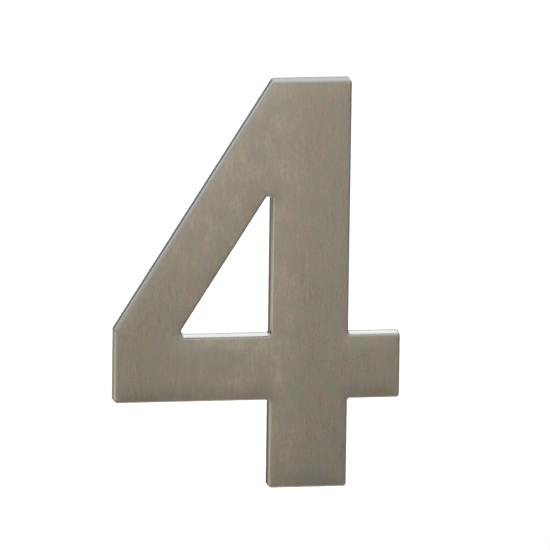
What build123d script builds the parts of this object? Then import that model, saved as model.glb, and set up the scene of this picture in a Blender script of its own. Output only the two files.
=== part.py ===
from build123d import *

import os
from math import hypot, radians, tan

# A cast metal house number 4 that is fixed to a wall by two studs hidden behind it.
# Seen from the front, X runs to the right and Z up. The face looks along -Y.
# The back rim lies on the wall plane, Y = 0, and the studs run into the wall along +Y.
# The origin is on the wall plane, midway between the two studs. Sizes are in millimetres.

# Numeral outline at the face, measured from its left end and its foot
HEIGHT = 127.0
WIDTH = 87.5
STEM_LEFT = 47.7
STEM_WIDTH = 23.8
BAR_BOTTOM = 27.7
BAR_HEIGHT = 20.0
HEEL_RISE = 2.6
LIMB_WIDTH = 17.25

# Rounded corners of the outline and of the counter, the hole through the 4
CORNER_RADIUS = 0.9
COUNTER_RADIUS = 0.85
TOE_RADIUS = 1.8
TIP_RADIUS = 1.2

# Section of the casting, whose sides widen from the face to the back
THICKNESS = 4.8
EDGE_RADIUS = 0.8
OUTER_DRAFT_DEG = 3.5
FACE_THICKNESS = 2.0
SIDE_WALL = 2.3
DRAFT_DEG = 2.0
POCKET_CORNER_RADIUS = 1.6
FLOOR_RADIUS = 0.8

# Stud bosses in the hollow back, and the ribs that tie them to the side walls
STUD_SPACING = 85.0
BOSS_RADIUS = 4.4
BOSS_RECESS = 0.3
RIB_THICKNESS = 1.6
RIB_RECESS = 1.0

# Double-ended studs of metric size M4, and the blind holes that they screw into
STUD_RADIUS = 2.0
STUD_REACH = 38.0
STUD_POINT = 0.5
NECK_RADIUS = 1.65
NECK_LENGTH = 1.6
THREAD_DEPTH = 3.4
THREAD_CLEARANCE = 0.05
HOLE_BEVEL = 0.4

# Places that follow from the sizes above
STEM_RIGHT = STEM_LEFT + STEM_WIDTH
STEM_MIDDLE = STEM_LEFT + STEM_WIDTH / 2
BAR_TOP = BAR_BOTTOM + BAR_HEIGHT
HEEL_TOP = BAR_TOP + HEEL_RISE
SPREAD = THICKNESS * tan(radians(OUTER_DRAFT_DEG))
POCKET_DEPTH = THICKNESS - FACE_THICKNESS
STUD_SEAT = BOSS_RECESS + THREAD_DEPTH
HOLE_RADIUS = STUD_RADIUS + THREAD_CLEARANCE
STUD_HEIGHTS = [HEIGHT / 2 - STUD_SPACING / 2, HEIGHT / 2 + STUD_SPACING / 2]

# The casting is drawn lying on its back: X to the right, Y up the numeral and Z from the
# wall plane to the face. stand_up then turns it upright and moves it to the origin.


def stand_up(shape):
    """Turn a shape from the drawing plane to the wall."""
    return Rot(90, 0, 0) * Pos(-STEM_MIDDLE, -HEIGHT / 2, 0) * shape


def outline_of_numeral():
    """The sharp-cornered outline of the 4, without its counter."""
    return Polygon(
        (0, BAR_BOTTOM),
        (STEM_LEFT, BAR_BOTTOM),
        (STEM_LEFT, 0),
        (STEM_RIGHT, 0),
        (STEM_RIGHT, BAR_BOTTOM),
        (WIDTH, BAR_BOTTOM),
        (WIDTH, BAR_TOP),
        (STEM_RIGHT, BAR_TOP),
        (STEM_RIGHT, HEIGHT),
        (STEM_LEFT, HEIGHT),
        (0, HEEL_TOP),
        align=None,
    )


def outline_of_counter():
    """The sharp-cornered triangle between the limb, the stem and the bar."""
    rise = HEIGHT - HEEL_TOP
    slope = rise / STEM_LEFT
    drop = LIMB_WIDTH * hypot(STEM_LEFT, rise) / STEM_LEFT
    tip = HEIGHT - drop
    toe = STEM_LEFT - (tip - BAR_TOP) / slope
    return Polygon((toe, BAR_TOP), (STEM_LEFT, BAR_TOP), (STEM_LEFT, tip), align=None)


def round_counter(shape, margin):
    """The counter's triangle, or one a margin wider all round, with each corner's own radius."""
    toe = shape.vertices().sort_by(Axis.X)[0]
    shape = fillet(toe, TOE_RADIUS + margin)
    tip = shape.vertices().sort_by(Axis.Y)[-1]
    shape = fillet(tip, TIP_RADIUS + margin)
    square_corner = shape.vertices().group_by(Axis.Y)[0].sort_by(Axis.X)[-1]
    return fillet(square_corner, COUNTER_RADIUS + margin)


def solid_numeral():
    """The numeral before its back is hollowed, with drafted sides and rounded front edges."""
    face_outline = fillet(outline_of_numeral().vertices(), CORNER_RADIUS)
    body = extrude(offset(face_outline, SPREAD), THICKNESS, taper=OUTER_DRAFT_DEG)
    counter = offset(outline_of_counter(), -SPREAD, kind=Kind.INTERSECTION)
    body -= extrude(round_counter(counter, -SPREAD), THICKNESS, taper=-OUTER_DRAFT_DEG)
    face = body.faces().sort_by(Axis.Z)[-1]
    return fillet(face.edges(), EDGE_RADIUS)


def wall_round_counter():
    """The drafted wall that stands round the counter inside the hollow back."""
    margin = SIDE_WALL - SPREAD
    collar = offset(outline_of_counter(), margin, kind=Kind.INTERSECTION)
    return extrude(round_counter(collar, margin), POCKET_DEPTH, taper=-DRAFT_DEG)


def stud_boss():
    """A drafted round boss at the origin, and a rib through it that the side walls will trim."""
    height = POCKET_DEPTH - BOSS_RECESS
    root_radius = BOSS_RADIUS + height * tan(radians(DRAFT_DEG))
    lying = (Align.CENTER, Align.CENTER, Align.MIN)
    boss = Pos(0, 0, BOSS_RECESS) * Cone(BOSS_RADIUS, root_radius, height, align=lying)
    rib = Box(2 * WIDTH, RIB_THICKNESS, POCKET_DEPTH - RIB_RECESS, align=lying)
    return boss + Pos(0, 0, RIB_RECESS) * rib


def hollow_back():
    """The space inside the casting: its side walls, floor, bosses and ribs are left standing."""
    mouth = offset(outline_of_numeral(), SPREAD - SIDE_WALL, kind=Kind.INTERSECTION)
    mouth = fillet(mouth.vertices(), POCKET_CORNER_RADIUS)
    hollow = extrude(mouth, POCKET_DEPTH, taper=DRAFT_DEG) - wall_round_counter()
    floor = hollow.faces().sort_by(Axis.Z)[-1]
    hollow = fillet(floor.edges(), FLOOR_RADIUS)
    for height in STUD_HEIGHTS:
        hollow -= Pos(STEM_MIDDLE, height, 0) * stud_boss()
    return hollow


def tapped_hole():
    """A blind hole at the origin, from the boss's end to the stud's seat, with a bevelled mouth."""
    lying = (Align.CENTER, Align.CENTER, Align.MIN)
    bore = Cylinder(HOLE_RADIUS, THREAD_DEPTH, align=lying)
    bevel = Cone(HOLE_RADIUS + HOLE_BEVEL, HOLE_RADIUS, HOLE_BEVEL, align=lying)
    return Pos(0, 0, BOSS_RECESS) * (bore + bevel)


def number_plate():
    """The whole casting, upright against the wall plane."""
    casting = solid_numeral() - hollow_back()
    for height in STUD_HEIGHTS:
        casting -= Pos(STEM_MIDDLE, height, 0) * tapped_hole()
    return stand_up(casting)


def stud():
    """One stud on the Z axis: the long wall thread, a neck at the boss's end and the short thread."""
    runout = STUD_RADIUS - NECK_RADIUS
    neck_start = BOSS_RECESS - NECK_LENGTH
    profile = Polyline(
        (0, -STUD_REACH),
        (STUD_RADIUS - STUD_POINT, -STUD_REACH),
        (STUD_RADIUS, STUD_POINT - STUD_REACH),
        (STUD_RADIUS, neck_start),
        (NECK_RADIUS, neck_start + runout),
        (NECK_RADIUS, BOSS_RECESS - runout),
        (STUD_RADIUS, BOSS_RECESS),
        (STUD_RADIUS, STUD_SEAT - STUD_POINT),
        (STUD_RADIUS - STUD_POINT, STUD_SEAT),
        (0, STUD_SEAT),
        close=True,
    )
    return revolve(Plane.XZ * make_face(profile), Axis.Z)


def wall_studs():
    """Both studs, each seated on the floor of its hole, as two solids in one group."""
    placed = [Pos(STEM_MIDDLE, height, 0) * stud() for height in STUD_HEIGHTS]
    return Compound(children=[stand_up(one) for one in placed])


os.makedirs("parts", exist_ok=True)
export_step(number_plate(), "parts/number_plate.step")
export_step(wall_studs(), "parts/wall_studs.step")
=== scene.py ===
import bmesh
import bpy
import math
import numpy as np
from mathutils import Matrix, Vector

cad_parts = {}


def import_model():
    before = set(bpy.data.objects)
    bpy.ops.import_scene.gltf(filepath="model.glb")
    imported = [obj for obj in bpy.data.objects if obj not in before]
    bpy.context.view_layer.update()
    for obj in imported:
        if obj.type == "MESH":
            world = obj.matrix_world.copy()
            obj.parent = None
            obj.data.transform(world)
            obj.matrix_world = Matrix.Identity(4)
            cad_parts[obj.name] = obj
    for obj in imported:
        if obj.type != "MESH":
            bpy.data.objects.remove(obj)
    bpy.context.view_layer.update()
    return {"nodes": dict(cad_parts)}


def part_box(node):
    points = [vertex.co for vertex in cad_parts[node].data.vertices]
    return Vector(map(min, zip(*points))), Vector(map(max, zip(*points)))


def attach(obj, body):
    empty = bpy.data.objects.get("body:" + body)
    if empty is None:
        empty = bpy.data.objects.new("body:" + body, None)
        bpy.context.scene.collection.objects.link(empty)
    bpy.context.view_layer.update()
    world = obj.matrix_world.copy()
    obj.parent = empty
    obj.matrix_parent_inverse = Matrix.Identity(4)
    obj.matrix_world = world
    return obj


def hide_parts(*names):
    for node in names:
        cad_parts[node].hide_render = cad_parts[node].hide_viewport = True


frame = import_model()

# A cast house number 4 in satin nickel, seen from a little above and to its left.
# Metres, in the frame of the solids: the face looks along -Y and the wall plane is Y = 0.

# View of the photograph
VIEW_AZIMUTH_DEG = -8.59
VIEW_ELEVATION_DEG = 13.72
VIEW_ROLL_DEG = 0.82
VIEW_DISTANCE = 3.643
VIEW_AIM = Vector((-0.0109, -0.0046, 0.0034))
VIEW_CLIP = (0.5, 60)
SENSOR_WIDTH_MM = 36.0
IMAGE_WIDTH_PX = 550
PIXELS_PER_METRE = 3294.0

# Casting: its front rounding, and the soft roll-off of the face towards its edges
EDGE_RADIUS = 0.0008
ROUNDING_SHORTFALL = 0.0001
CROWN_WIDTH = 0.0062
CROWN_DEPTH = 0.00018
CROWN_MAX_SHARE = 1.25
FACE_GRID = 0.001
FACE_SHARP_DEG = 32

# Casting: the floor of its hollow back, and the tolerances of its mesh
POCKET_FACING = 0.999
POCKET_AREA = 1e-5
POCKET_PLACE = -0.002
POCKET_MARGIN = 0.0001
FLAT_ANGLE_DEG = 0.2
NEAR = 1e-6
EXACT = 1e-7

# Studs: sizes of the thread, and of the plain neck between its two lengths
THREAD_PITCH = 0.0007
THREAD_DEPTH = 0.0004
CREST_SHARE = 0.125
ROOT_SHARE = 0.25
RING_POINTS = 40
RINGS_PER_PITCH = 8
STUD_POINT = 0.0005
NECK_START = -0.0003
NECK_END = 0.0013
NECK_RADIUS = 0.00165
THREAD_SHARP_DEG = 40

# Colours of the metal
FACE_DARK = (0.222, 0.194, 0.149)
FACE_LIGHT = (0.298, 0.261, 0.199)
FACE_PINK = (0.297, 0.223, 0.175)
FACE_GREEN = (0.246, 0.245, 0.168)
FACE_BLUE = (0.248, 0.230, 0.196)
# Painted reflection: the paler part of the face
PALE_REFLECTION_DARK = (0.274, 0.238, 0.183)
PALE_REFLECTION_LIGHT = (0.362, 0.316, 0.242)
# Painted highlight where the face rolls off upwards
BROW_HIGHLIGHT_COLOUR = (0.375, 0.368, 0.335)
# Painted highlight on the rounded edge that faces left in the counter
COUNTER_HIGHLIGHT_COLOUR = (0.41, 0.37, 0.315)
WALL_DARK = (0.29, 0.275, 0.245)
WALL_LIGHT = (0.335, 0.32, 0.285)
# Painted shade on the back part of the side walls
ARRIS_SHADE_COLOUR = (0.17, 0.165, 0.155)
# Painted highlight on the rounding of the walls that face up
SHOULDER_HIGHLIGHT_COLOUR = (0.47, 0.465, 0.445)
CAST_DARK = (0.20, 0.185, 0.155)
CAST_LIGHT = (0.31, 0.285, 0.24)
RIM_DARK = (0.30, 0.275, 0.225)
RIM_LIGHT = (0.44, 0.41, 0.35)
ZINC_DARK = (0.27, 0.275, 0.275)
ZINC_LIGHT = (0.42, 0.425, 0.415)
ZINC_WARM = (0.39, 0.37, 0.30)
# Painted shade in the roots of the studs' thread
ZINC_ROOT_SHADE = (0.08, 0.08, 0.078)

# Tints of the metal at a glancing angle, which paint the colour of the light: cool on what faces
# up, warm on the rest
WARM_LIGHT_TINT = (0.51, 0.44, 0.36)
COOL_LIGHT_TINT = (0.50, 0.52, 0.545)
# Painted shade in the reflections of the back part of the side walls
TINT_ARRIS_SHADE = (0.12, 0.13, 0.14)

# Noises: their cells in each metre along X, Y and Z, and three pairs of detail and roughness
FINE_CELLS = (3600, 900, 420)
BROAD_CELLS = (1100, 300, 110)
GRAIN_CELLS = (2600, 2600, 2600)
CAST_CELLS = (1500, 1500, 1500)
SCRATCH_CELLS = (150, 600, 4200)
PINK_CELLS = (230, 230, 130)
GREEN_CELLS = (170, 170, 210)
BLUE_CELLS = (280, 280, 150)
ZINC_CELLS = (2200, 2200, 2200)
CLOUD_CELLS = (260, 180, 260)
SOFT = (2.0, 0.5)
CRISP = (3.0, 0.6)
COARSE = (4.0, 0.65)

# Faint stains on the face
STAINS = ((PINK_CELLS, FACE_PINK), (GREEN_CELLS, FACE_GREEN), (BLUE_CELLS, FACE_BLUE))

# Masks: the range of what each one measures, then its values at the two ends of that range
# where they aren't 0 and 1. FACING measures a normal's share along an axis, PLACE metres along
# one, RADIUS metres from a stud's axis, TONE a noise and SHADE another mask.
FRONT_FACING = (0.5, 0.92)
INSIDE_FACING = (0.008, 0.03)
RIM_FACING = (0.7, 0.95)
RIM_PLACE = (-0.0004, -0.0002)
STREAK_TONE = (0.39, 0.61)
STAIN_TONE = (0.42, 0.68, 0.0, 0.5)
GRAIN_TONE = (0.3, 0.7)
SCRATCH_TONE = (0.35, 0.65)
# Where the painted reflection makes the face paler
PALE_REFLECTION_LEFT_PLACE = (-0.050, -0.028)
PALE_REFLECTION_RIGHT_PLACE = (-0.010, 0.003, 1.0, 0.0)
# Where the painted highlight sits on the face's upward roll-off
BROW_HIGHLIGHT_FACING = (0.08, 0.45, 0.0, 0.9)
INNER_PLACE = (-0.030, -0.015)
# Where the painted highlight in the counter sits
COUNTER_HIGHLIGHT_FACING = (0.15, 0.5)
COUNTER_HIGHLIGHT_PLACE = (-0.018, -0.013)
UPWARD_FACING = (0.6, 1.0)
UPRIGHT_FACING = (0.05, 0.45, 1.0, 0.0)
# Where the painted highlight on the upward rounding sits
SHOULDER_FRONT_FACING = (0.1, 0.4)
SHOULDER_UPWARD_FACING = (0.55, 0.85)
# Where the painted cool light of the upward faces sets in
COOL_LIGHT_FACING = (0.1, 0.45)
CREST_RADIUS = (0.0016, 0.0019)
CLOUD_TONE = (0.45, 0.7, 0.0, 0.7)
ROOT_SHADE = (0.0, 1.0, 0.6, 0.0)

# The painted shade on the back part of the side walls: where it sets in, how far the walls that
# face up and the upright ones shift it, and what is lost or kept of it there
ARRIS_PLACE = (-0.0024, -0.0013)
ARRIS_UPWARD_SHIFT = -0.0010
ARRIS_UPRIGHT_SHIFT = 0.0012
ARRIS_UPRIGHT_LOSS = (0.0, 1.0, 0.85, 0.15)
ARRIS_UPWARD_SHARE = (0.0, 0.03, 0.75, 0.45)
ARRIS_TINT_SHARE = 0.5

# Finish of the metal: shares of the noises in the streaks, then roughness, brushing and relief
FINE_SHARE = 0.38
BROAD_SHARE = 0.20
GRAIN_SHARE = 0.42
FACE_ROUGHNESS = 0.34
WALL_ROUGHNESS = 0.22
CAST_ROUGHNESS = 0.58
RIM_ROUGHNESS = 0.30
TONE_ROUGHNESS = 0.05
ZINC_ROUGHNESS = 0.24
ZINC_GRAIN_ROUGHNESS = 0.2
ANISOTROPY = 0.7
BRUSH_TANGENT = (1.0, 0.3, 0.0)
BRUSH_RELIEF = 0.1
CAST_RELIEF = 1.6
PLATE_RELIEF = (0.5, 0.00006)
ZINC_RELIEF = (0.3, 0.00002)

# Stage
WHITE = (1, 1, 1)
FLOOR_COLOUR = (0.86, 0.86, 0.86)
FLOOR_DROP = 0.10
FLOOR_SIZE = 24.0
FLOOR_LIFT = 0.34
SKY_STRENGTH = 0.15

# Lamps: name, place, target, size, power and colour. The upper side walls mirror the two that
# stand behind the numeral. The others light the floor, which all the metal mirrors.
LAMPS = (
    ("back_softbox", (-0.05, 1.4, 0.6), (-0.05, 0, 0.5), (1.4, 1.3), 7.5, (0.98, 1.0, 1.06)),
    ("back_card", (0.06, 0.3, 0.078), (0.06, 0, 0.078), (0.13, 0.11), 0.1, WHITE),
    ("back_floor_softbox", (0, 0.22, 0.5), (0, 1.22, 0.2), (1.6, 0.3), 9, WHITE),
    ("under_floor_softbox", (0, 0.02, -0.09), (0, 0.02, -0.2), (0.3, 0.12), 0.2, WHITE),
    ("front_floor_softbox", (0, -0.5, 0.35), (0, -1.5, 0.0), (1.6, 0.4), 5.75, WHITE),
    ("far_floor_softbox", (-0.1, -1.15, 0.52), (-0.1, -2.3, -0.12), (2.2, 0.5), 14.5, WHITE),
    ("horizon_floor_softbox", (-0.1, -2.5, 1.1), (-0.1, -5.2, -0.16), (4.0, 1.0), 150, WHITE),
    ("left_floor_softbox", (-0.34, 0.05, 0.45), (-1.34, 0.05, 0.1), (1.2, 0.4), 10.5, WHITE),
)

low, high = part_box("number_plate")
stud_low, stud_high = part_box("wall_studs")
full_radius = (stud_high.x - stud_low.x) / 2
axis_heights = (stud_low.z + full_radius, stud_high.z - full_radius)


# Meshes

def new_piece(name, mesh, material, node):
    """An object for a mesh that stands for a node of the solids."""
    piece = bpy.data.objects.new(name, mesh)
    bpy.context.scene.collection.objects.link(piece)
    mesh.materials.clear()
    mesh.materials.append(material)
    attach(piece, "root")
    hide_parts(node)


def distance_to_segments(points, starts, ends):
    """For each point in the plane, how far it is from the nearest segment."""
    nearest = np.full(len(points), np.inf)
    for start, end in zip(starts, ends):
        run = end - start
        share = np.clip(((points - start) @ run) / (run @ run), 0, 1)
        gap = np.linalg.norm(points - (start + share[:, None] * run), axis=1)
        nearest = np.minimum(nearest, gap)
    return nearest


def flat_face(bm):
    """The faces of the casting's flat front."""
    return [f for f in bm.faces if all(abs(v.co.y - low.y) < NEAR for v in f.verts)]


def pocket_floor(bm):
    """The large flat faces at the bottom of the hollow back."""
    return [f for f in bm.faces
            if f.normal.y > POCKET_FACING
            and f.calc_area() > POCKET_AREA
            and f.calc_center_median().y < POCKET_PLACE]


def cut_into_grid(bm, depth_limit):
    """Cut the front of the casting into small squares, for the roll-off to bend."""
    for axis, normal in ((0, Vector((1, 0, 0))), (2, Vector((0, 0, 1)))):
        count = math.ceil((high[axis] - low[axis]) / FACE_GRID)
        for step in range(1, count):
            place = low[axis] + (high[axis] - low[axis]) * step / count
            faces = [f for f in bm.faces
                     if all(v.co.y < depth_limit for v in f.verts)
                     and min(v.co[axis] for v in f.verts) < place
                     and max(v.co[axis] for v in f.verts) > place]
            edges = {e for f in faces for e in f.edges}
            verts = {v for f in faces for v in f.verts}
            bmesh.ops.bisect_plane(bm, geom=[*verts, *edges, *faces], dist=EXACT,
                                   plane_co=normal * place, plane_no=normal)


def crowned_plate():
    """The casting, with a face that rolls off a little towards every edge."""
    bm = bmesh.new()
    bm.from_mesh(frame["nodes"]["number_plate"].data)
    bmesh.ops.remove_doubles(bm, verts=bm.verts, dist=NEAR)
    bmesh.ops.dissolve_limit(bm, angle_limit=math.radians(FLAT_ANGLE_DEG),
                             verts=bm.verts, edges=bm.edges)
    # A narrow margin keeps the shading of the fillets off the pocket's flat floor
    bmesh.ops.inset_individual(bm, faces=pocket_floor(bm), thickness=POCKET_MARGIN)
    flat = flat_face(bm)
    rim = [e for f in flat for e in f.edges if len(set(flat).intersection(e.link_faces)) == 1]
    starts = np.array([(e.verts[0].co.x, e.verts[0].co.z) for e in rim])
    ends = np.array([(e.verts[1].co.x, e.verts[1].co.z) for e in rim])
    # The sides are drafted, so their rounding ends a little less than one radius behind the face
    past_rounding = low.y + EDGE_RADIUS - ROUNDING_SHORTFALL
    depth_limit = min(v.co.y for v in bm.verts if v.co.y > past_rounding) + NEAR
    cut_into_grid(bm, depth_limit)
    front = [v for v in bm.verts if v.co.y < depth_limit]
    gaps = distance_to_segments(np.array([(v.co.x, v.co.z) for v in front]), starts, ends)
    on_face = np.array([abs(v.co.y - low.y) < EXACT for v in front])
    inset = np.where(on_face, gaps, -gaps)
    # The roll-off's share is 1 at the edge of the flat face and grows on over the rounding
    share = np.clip(1 - inset / (CROWN_WIDTH - EDGE_RADIUS), 0, CROWN_MAX_SHARE)
    for v, drop in zip(front, CROWN_DEPTH * share ** 2):
        v.co.y += float(drop)
    mesh = bpy.data.meshes.new("number_plate_skin")
    bm.to_mesh(mesh)
    bm.free()
    mesh.shade_smooth()
    mesh.set_sharp_from_angle(angle=math.radians(FACE_SHARP_DEG))
    return mesh


def stud_radius(along, turn):
    """The radius of a stud at places along it and at shares of a turn, for arrays of both."""
    wave = np.abs(2 * np.mod(along / THREAD_PITCH - turn, 1) - 1)
    groove = np.clip((wave - CREST_SHARE) / (1 - CREST_SHARE - ROOT_SHARE), 0, 1)
    thread = full_radius - THREAD_DEPTH * groove
    from_end = np.minimum(along - stud_low.y, stud_high.y - along)
    point = full_radius - STUD_POINT + from_end
    into_neck = np.minimum(along - NECK_START, NECK_END - along)
    sloped_neck = np.maximum(NECK_RADIUS, full_radius - into_neck)
    neck = np.where(into_neck > 0, sloped_neck, full_radius)
    return np.minimum(np.minimum(thread, point), neck)


def threaded_studs():
    """Both studs, each a closed tube whose surface carries the thread's helix."""
    rows = math.ceil((stud_high.y - stud_low.y) / THREAD_PITCH * RINGS_PER_PITCH)
    along = np.linspace(stud_low.y, stud_high.y, rows + 1)
    turn = np.arange(RING_POINTS) / RING_POINTS
    radius = stud_radius(along[:, None], turn[None, :])
    verts, faces = [], []
    for centre in axis_heights:
        first = len(verts)
        for y, ring in zip(along, radius):
            for share, reach in zip(turn, ring):
                angle = 2 * math.pi * share
                verts.append((reach * math.cos(angle), y, centre + reach * math.sin(angle)))
        for row in range(rows):
            here = first + row * RING_POINTS
            ahead = here + RING_POINTS
            for step in range(RING_POINTS):
                after = (step + 1) % RING_POINTS
                faces.append((here + step, ahead + step, ahead + after, here + after))
        last = first + rows * RING_POINTS
        faces.append(tuple(range(first, first + RING_POINTS)))
        faces.append(tuple(range(last + RING_POINTS - 1, last - 1, -1)))
    mesh = bpy.data.meshes.new("threaded_studs")
    mesh.from_pydata(verts, [], faces)
    mesh.shade_smooth()
    mesh.set_sharp_from_angle(angle=math.radians(THREAD_SHARP_DEG))
    return mesh


# Materials

class Graph:
    """The node tree of a material or of the world, with short ways to add to it.

    Each value given to a node is a number, a colour or another node's output.
    """

    def __init__(self, owner):
        self.owner = owner
        owner.use_nodes = True
        self.nodes, self.links = owner.node_tree.nodes, owner.node_tree.links
        self.nodes.clear()

    def feed(self, socket, value):
        """Give an input its value."""
        if isinstance(value, bpy.types.NodeSocket):
            self.links.new(value, socket)
        elif socket.type == "RGBA":
            socket.default_value = (*value, 1)
        else:
            socket.default_value = value

    def add(self, kind, inputs, **settings):
        """A new node, with its settings and the values of its inputs."""
        node = self.nodes.new(kind)
        for name, setting in settings.items():
            setattr(node, name, setting)
        for key, value in inputs.items():
            self.feed(node.inputs[key], value)
        return node

    def reckon(self, operation, *values):
        """The result of a math node."""
        return self.add("ShaderNodeMath", dict(enumerate(values)), operation=operation).outputs[0]

    def times(self, first, second):
        """A product."""
        return self.reckon("MULTIPLY", first, second)

    def plus(self, first, second):
        """A sum."""
        return self.reckon("ADD", first, second)

    def rest(self, share):
        """What a share leaves of 1."""
        return self.reckon("SUBTRACT", 1.0, share)

    def mask(self, value, low_in, high_in, low_out=0.0, high_out=1.0):
        """A value, stretched smoothly from one range to another and held at its ends."""
        inputs = {"Value": value, "From Min": low_in, "From Max": high_in,
                  "To Min": low_out, "To Max": high_out}
        node = self.add("ShaderNodeMapRange", inputs, interpolation_type="SMOOTHSTEP")
        return node.outputs[0]

    def noise(self, place, cells, detail, rough):
        """Noise with so many cells in each metre along X, Y and Z."""
        scaled = self.add("ShaderNodeVectorMath", {0: place, 1: cells}, operation="MULTIPLY")
        inputs = {"Vector": scaled.outputs[0], "Scale": 1.0, "Detail": detail, "Roughness": rough}
        return self.add("ShaderNodeTexNoise", inputs).outputs["Fac"]

    def mix(self, share, first, second):
        """A mix of two colours."""
        node = self.add("ShaderNodeMix", {"Factor": share, 6: first, 7: second}, data_type="RGBA")
        return node.outputs[2]


class Metal(Graph):
    """A metal's material. It knows a place on the part and the way that the surface faces there."""

    def __init__(self, name):
        super().__init__(bpy.data.materials.new(name))
        self.shader = self.add("ShaderNodeBsdfPrincipled", {"Metallic": 1})
        self.add("ShaderNodeOutputMaterial", {0: self.shader.outputs[0]})
        where = self.add("ShaderNodeTexCoord", {})
        self.place = where.outputs["Object"]
        self.at = self.add("ShaderNodeSeparateXYZ", {0: self.place}).outputs
        self.facing = self.add("ShaderNodeSeparateXYZ", {0: where.outputs["Normal"]}).outputs

    def give(self, name, value):
        """Give the shader an input."""
        self.feed(self.shader.inputs[name], value)

    def give_relief(self, height, strength, distance):
        """Give the shader a bump that a height draws."""
        inputs = {"Height": height, "Strength": strength, "Distance": distance}
        self.give("Normal", self.add("ShaderNodeBump", inputs).outputs[0])


def plate_material():
    """Satin nickel: brushed on the face, plainer on the walls, cast inside, ground at the rim."""
    metal = Metal("satin_nickel")
    times, plus, rest, mask, mix = metal.times, metal.plus, metal.rest, metal.mask, metal.mix
    place, at = metal.place, metal.at
    leftward = times(metal.facing[0], -1.0)
    forward = times(metal.facing[1], -1.0)
    backward, up = metal.facing[1], metal.facing[2]

    front = mask(forward, *FRONT_FACING)
    inside = mask(backward, *INSIDE_FACING)
    rim = times(mask(backward, *RIM_FACING), mask(at[1], *RIM_PLACE))
    inner = mask(at[0], *INNER_PLACE)
    upward = mask(up, *UPWARD_FACING)
    upright = mask(up, *UPRIGHT_FACING)

    fine = metal.noise(place, FINE_CELLS, *CRISP)
    broad = metal.noise(place, BROAD_CELLS, *SOFT)
    grain = metal.noise(place, GRAIN_CELLS, *CRISP)
    cast_grain = metal.noise(place, CAST_CELLS, *COARSE)
    scratches = metal.noise(place, SCRATCH_CELLS, *CRISP)

    # Face: streaks, a painted reflection that makes the limb paler, faint stains, and painted
    # highlights on the edges at the top and in the counter
    cloudy = plus(times(broad, BROAD_SHARE), times(grain, GRAIN_SHARE))
    streak = plus(times(fine, FINE_SHARE), cloudy)
    tone = mask(streak, *STREAK_TONE)
    # Painted reflection: a paler band across the face, by its place along X
    pale = times(mask(at[0], *PALE_REFLECTION_LEFT_PLACE), mask(at[0], *PALE_REFLECTION_RIGHT_PLACE))
    face = mix(tone, mix(pale, FACE_DARK, PALE_REFLECTION_DARK), mix(pale, FACE_LIGHT, PALE_REFLECTION_LIGHT))
    for cells, colour in STAINS:
        stain = metal.noise(place, cells, *SOFT)
        face = mix(mask(stain, *STAIN_TONE), face, colour)
    # Painted highlight: the face turns lighter where its roll-off tilts up
    face = mix(mask(up, *BROW_HIGHLIGHT_FACING), face, BROW_HIGHLIGHT_COLOUR)
    # Painted highlight along the rounded edge that faces left inside the counter
    counter_highlight = times(times(mask(leftward, *COUNTER_HIGHLIGHT_FACING), inner),
                         mask(at[2], *COUNTER_HIGHLIGHT_PLACE))
    face = mix(counter_highlight, face, COUNTER_HIGHLIGHT_COLOUR)

    # Walls: painted shade towards the back, and a painted highlight where the walls that face up
    # are rounded
    shift = plus(times(upward, ARRIS_UPWARD_SHIFT), times(upright, ARRIS_UPRIGHT_SHIFT))
    arris_shade = mask(plus(at[1], shift), *ARRIS_PLACE)
    arris_shade = times(arris_shade, rest(times(upright, mask(inner, *ARRIS_UPRIGHT_LOSS))))
    arris_shade = times(arris_shade, rest(times(upward, rest(mask(at[2], *ARRIS_UPWARD_SHARE)))))
    # Painted highlight on the rounding of the walls that face up
    shoulder_highlight = times(mask(forward, *SHOULDER_FRONT_FACING), mask(up, *SHOULDER_UPWARD_FACING))
    walls = mix(mask(grain, *GRAIN_TONE), WALL_DARK, WALL_LIGHT)
    walls = mix(arris_shade, walls, ARRIS_SHADE_COLOUR)
    walls = mix(shoulder_highlight, walls, SHOULDER_HIGHLIGHT_COLOUR)

    cast = mix(mask(cast_grain, *GRAIN_TONE), CAST_DARK, CAST_LIGHT)
    ground = mix(mask(scratches, *SCRATCH_TONE), RIM_DARK, RIM_LIGHT)
    back = mix(rim, cast, ground)
    metal.give("Base Color", mix(inside, mix(front, walls, face), back))

    gloss = plus(times(front, FACE_ROUGHNESS - WALL_ROUGHNESS), WALL_ROUGHNESS)
    gloss = plus(gloss, times(tone, TONE_ROUGHNESS))
    gloss = plus(gloss, times(inside, CAST_ROUGHNESS - WALL_ROUGHNESS))
    gloss = plus(gloss, times(rim, RIM_ROUGHNESS - CAST_ROUGHNESS))
    metal.give("Roughness", gloss)
    metal.give("Anisotropic", ANISOTROPY)
    across = metal.add("ShaderNodeCombineXYZ", dict(enumerate(BRUSH_TANGENT)))
    metal.give("Tangent", across.outputs[0])
    # Painted light colour: cool on what faces up, warm on the rest
    tint = mix(mask(up, *COOL_LIGHT_FACING), WARM_LIGHT_TINT, COOL_LIGHT_TINT)
    # The painted shade at the back of the walls darkens their reflections too
    metal.give("Specular Tint", mix(times(arris_shade, ARRIS_TINT_SHARE), tint, TINT_ARRIS_SHADE))

    brushing = times(times(fine, rest(inside)), BRUSH_RELIEF)
    metal.give_relief(plus(brushing, times(times(cast_grain, inside), CAST_RELIEF)), *PLATE_RELIEF)
    return metal.owner


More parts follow.
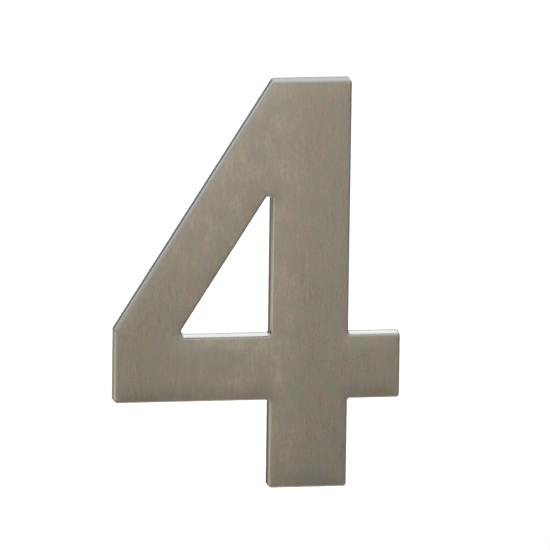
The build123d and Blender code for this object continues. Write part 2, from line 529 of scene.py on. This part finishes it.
def stud_material():
    """Zinc-plated steel, with painted shade in the thread roots and a slight yellow cast in places.
    """
    metal = Metal("zinc_steel")
    times, mask, mix = metal.times, metal.mask, metal.mix
    x = metal.at[0]
    z = metal.reckon("SUBTRACT", metal.reckon("ABSOLUTE", metal.at[2]), axis_heights[1])
    radius = metal.reckon("SQRT", metal.plus(times(z, z), times(x, x)))
    crest = mask(radius, *CREST_RADIUS)
    grain = metal.noise(metal.place, ZINC_CELLS, *CRISP)
    cloud = metal.noise(metal.place, CLOUD_CELLS, *SOFT)
    colour = mix(mask(grain, *GRAIN_TONE), ZINC_DARK, ZINC_LIGHT)
    colour = mix(mask(cloud, *CLOUD_TONE), colour, ZINC_WARM)
    # Painted shade in the roots of the thread
    colour = mix(mask(crest, *ROOT_SHADE), colour, ZINC_ROOT_SHADE)
    metal.give("Base Color", colour)
    metal.give("Roughness", metal.plus(times(grain, ZINC_GRAIN_ROUGHNESS), ZINC_ROUGHNESS))
    metal.give_relief(grain, *ZINC_RELIEF)
    return metal.owner


# Stage

def seen_directly(graph):
    """1 for what the camera, a reflection or a refraction looks at, and 0 for diffuse light."""
    ray = graph.add("ShaderNodeLightPath", {}).outputs
    either = graph.reckon("MAXIMUM", ray["Is Camera Ray"], ray["Is Glossy Ray"])
    return graph.reckon("MAXIMUM", either, ray["Is Transmission Ray"])


def floor():
    """A plain pale floor below the numeral, lifted to white where it is seen directly."""
    paint = Graph(bpy.data.materials.new("floor_paint"))
    matt = paint.add("ShaderNodeBsdfDiffuse", {"Color": FLOOR_COLOUR})
    lift = paint.times(seen_directly(paint), FLOOR_LIFT)
    glow = paint.add("ShaderNodeEmission", {"Strength": lift})
    both = paint.add("ShaderNodeAddShader", {0: matt.outputs[0], 1: glow.outputs[0]})
    paint.add("ShaderNodeOutputMaterial", {0: both.outputs[0]})
    mesh = bpy.data.meshes.new("floor")
    half = FLOOR_SIZE / 2
    height = low.z - FLOOR_DROP
    square = ((-half, -half), (half, -half), (half, half), (-half, half))
    mesh.from_pydata([(x, y, height) for x, y in square], [], [(0, 1, 2, 3)])
    piece = bpy.data.objects.new("floor", mesh)
    bpy.context.scene.collection.objects.link(piece)
    mesh.materials.append(paint.owner)


def area_lamp(name, place, target, size, power, colour):
    """A soft rectangular lamp that points at a target and that the camera doesn't see."""
    data = bpy.data.lights.new(name, "AREA")
    data.shape = "RECTANGLE"
    data.size, data.size_y = size
    data.energy = power
    data.color = colour
    lamp = bpy.data.objects.new(name, data)
    lamp.location = place
    lamp.visible_camera = False
    lamp.rotation_mode = "QUATERNION"
    lamp.rotation_quaternion = (Vector(target) - Vector(place)).to_track_quat("-Z", "Y")
    bpy.context.scene.collection.objects.link(lamp)


def world():
    """White to the eye and in reflections, and a faint even light on dull surfaces."""
    sky = Graph(bpy.data.worlds.new("studio"))
    bpy.context.scene.world = sky.owner
    dim = sky.add("ShaderNodeBackground", {"Color": WHITE, "Strength": SKY_STRENGTH}).outputs[0]
    white = sky.add("ShaderNodeBackground", {"Color": WHITE, "Strength": 1.0}).outputs[0]
    shown = sky.add("ShaderNodeMixShader", {0: seen_directly(sky), 1: dim, 2: white})
    sky.add("ShaderNodeOutputWorld", {0: shown.outputs[0]})


def camera():
    """The photograph's view, with a long lens from far off."""
    azimuth = math.radians(VIEW_AZIMUTH_DEG)
    elevation = math.radians(VIEW_ELEVATION_DEG)
    back = Vector((math.sin(azimuth) * math.cos(elevation),
                   -math.cos(azimuth) * math.cos(elevation),
                   math.sin(elevation)))
    data = bpy.data.cameras.new("camera")
    data.sensor_width = SENSOR_WIDTH_MM
    data.lens = SENSOR_WIDTH_MM * PIXELS_PER_METRE * VIEW_DISTANCE / IMAGE_WIDTH_PX
    data.clip_start, data.clip_end = VIEW_CLIP
    made = bpy.data.objects.new("camera", data)
    made.rotation_mode = "QUATERNION"
    level = (-back).to_track_quat("-Z", "Y")
    roll = Matrix.Rotation(math.radians(VIEW_ROLL_DEG), 3, "Z").to_quaternion()
    made.rotation_quaternion = level @ roll
    made.location = VIEW_AIM + back * VIEW_DISTANCE
    bpy.context.scene.collection.objects.link(made)
    bpy.context.scene.camera = made


new_piece("number_plate_skin", crowned_plate(), plate_material(), "number_plate")
new_piece("threaded_studs", threaded_studs(), stud_material(), "wall_studs")
floor()
for lamp in LAMPS:
    area_lamp(*lamp)
world()
camera()

scene = bpy.context.scene
scene.view_settings.view_transform = "Standard"
